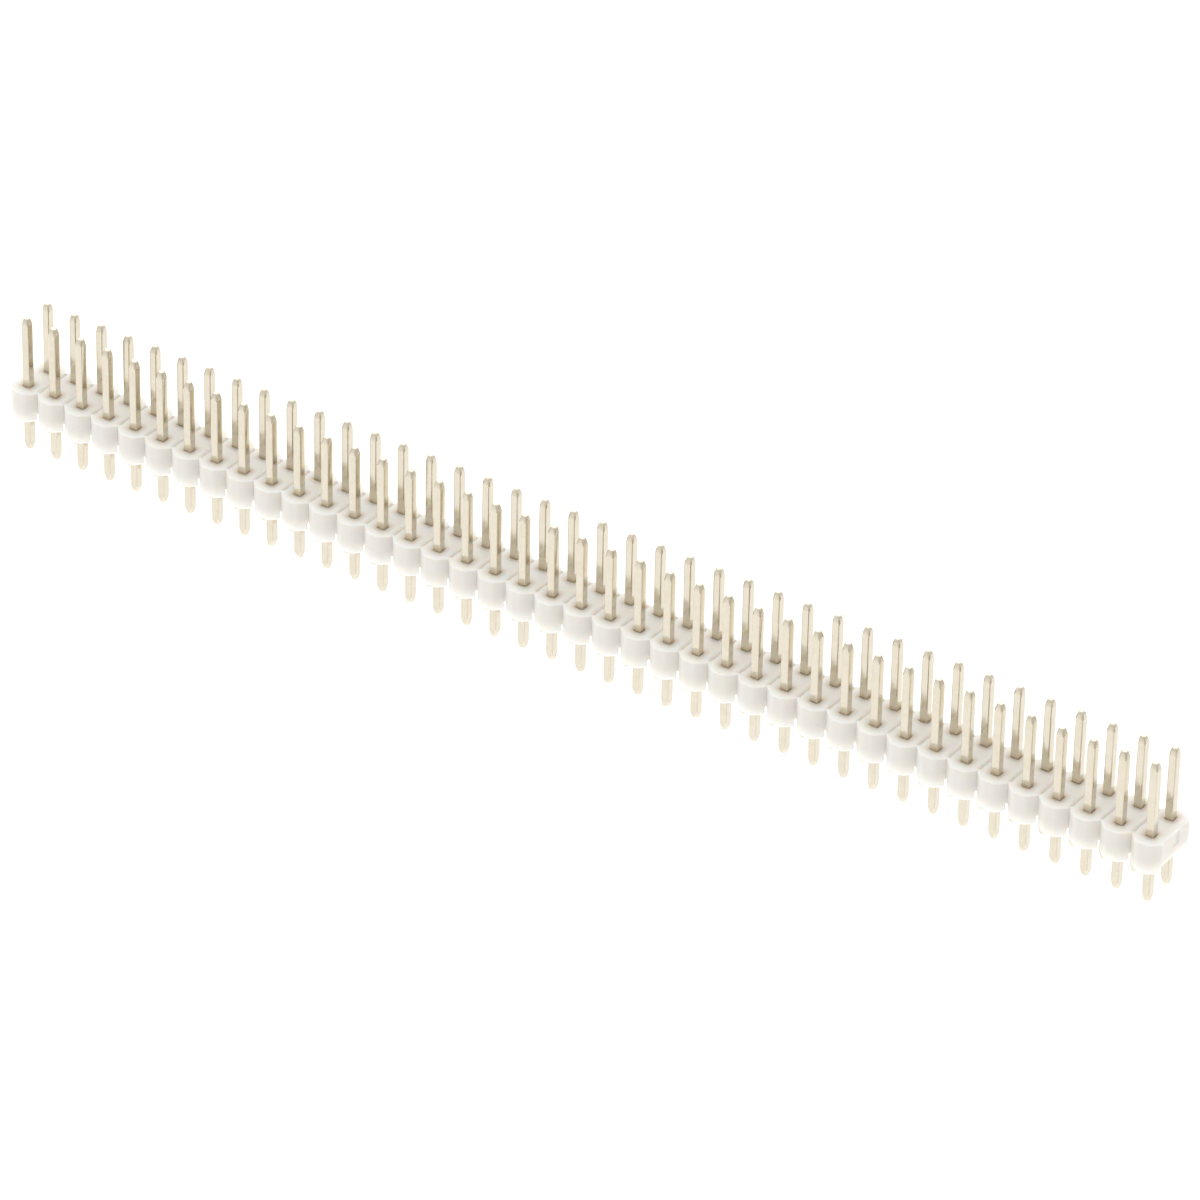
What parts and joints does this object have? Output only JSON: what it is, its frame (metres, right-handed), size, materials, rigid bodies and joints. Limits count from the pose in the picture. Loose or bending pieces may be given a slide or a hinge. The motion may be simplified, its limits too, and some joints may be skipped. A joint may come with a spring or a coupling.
{
  "type": "pin header strip",
  "caption": "Straight strip of square tapered pins in parallel rows, pressed through an off-white moulded insulator that is notched so that it snaps to length.",
  "frame": {"origin": "middle of the strip, on the centre line between the rows, on the board's surface where the feet of the insulator stand", "axes": "+X along the strip towards position 40, +Y from the front row to the back row, +Z out of the board towards the mating ends of the pins"},
  "size_m": [0.1016, 0.005, 0.0114],
  "materials": {
    "insulator": "off-white moulded nylon, slightly translucent, satin",
    "pins": "bright tin plate over brass, pale champagne, faintly drawn along its length"
  },
  "bodies": {
    "root": {"housing": "insulator", "pins_01": "pins", "pins_02": "pins", "pins_03": "pins", "pins_04": "pins", "pins_05": "pins", "pins_06": "pins", "pins_07": "pins", "pins_08": "pins", "pins_09": "pins", "pins_10": "pins", "pins_11": "pins", "pins_12": "pins", "pins_13": "pins", "pins_14": "pins", "pins_15": "pins", "pins_16": "pins", "pins_17": "pins", "pins_18": "pins", "pins_19": "pins", "pins_20": "pins", "pins_21": "pins", "pins_22": "pins", "pins_23": "pins", "pins_24": "pins", "pins_25": "pins", "pins_26": "pins", "pins_27": "pins", "pins_28": "pins", "pins_29": "pins", "pins_30": "pins", "pins_31": "pins", "pins_32": "pins", "pins_33": "pins", "pins_34": "pins", "pins_35": "pins", "pins_36": "pins", "pins_37": "pins", "pins_38": "pins", "pins_39": "pins", "pins_40": "pins"}
  },
  "joints": []
}
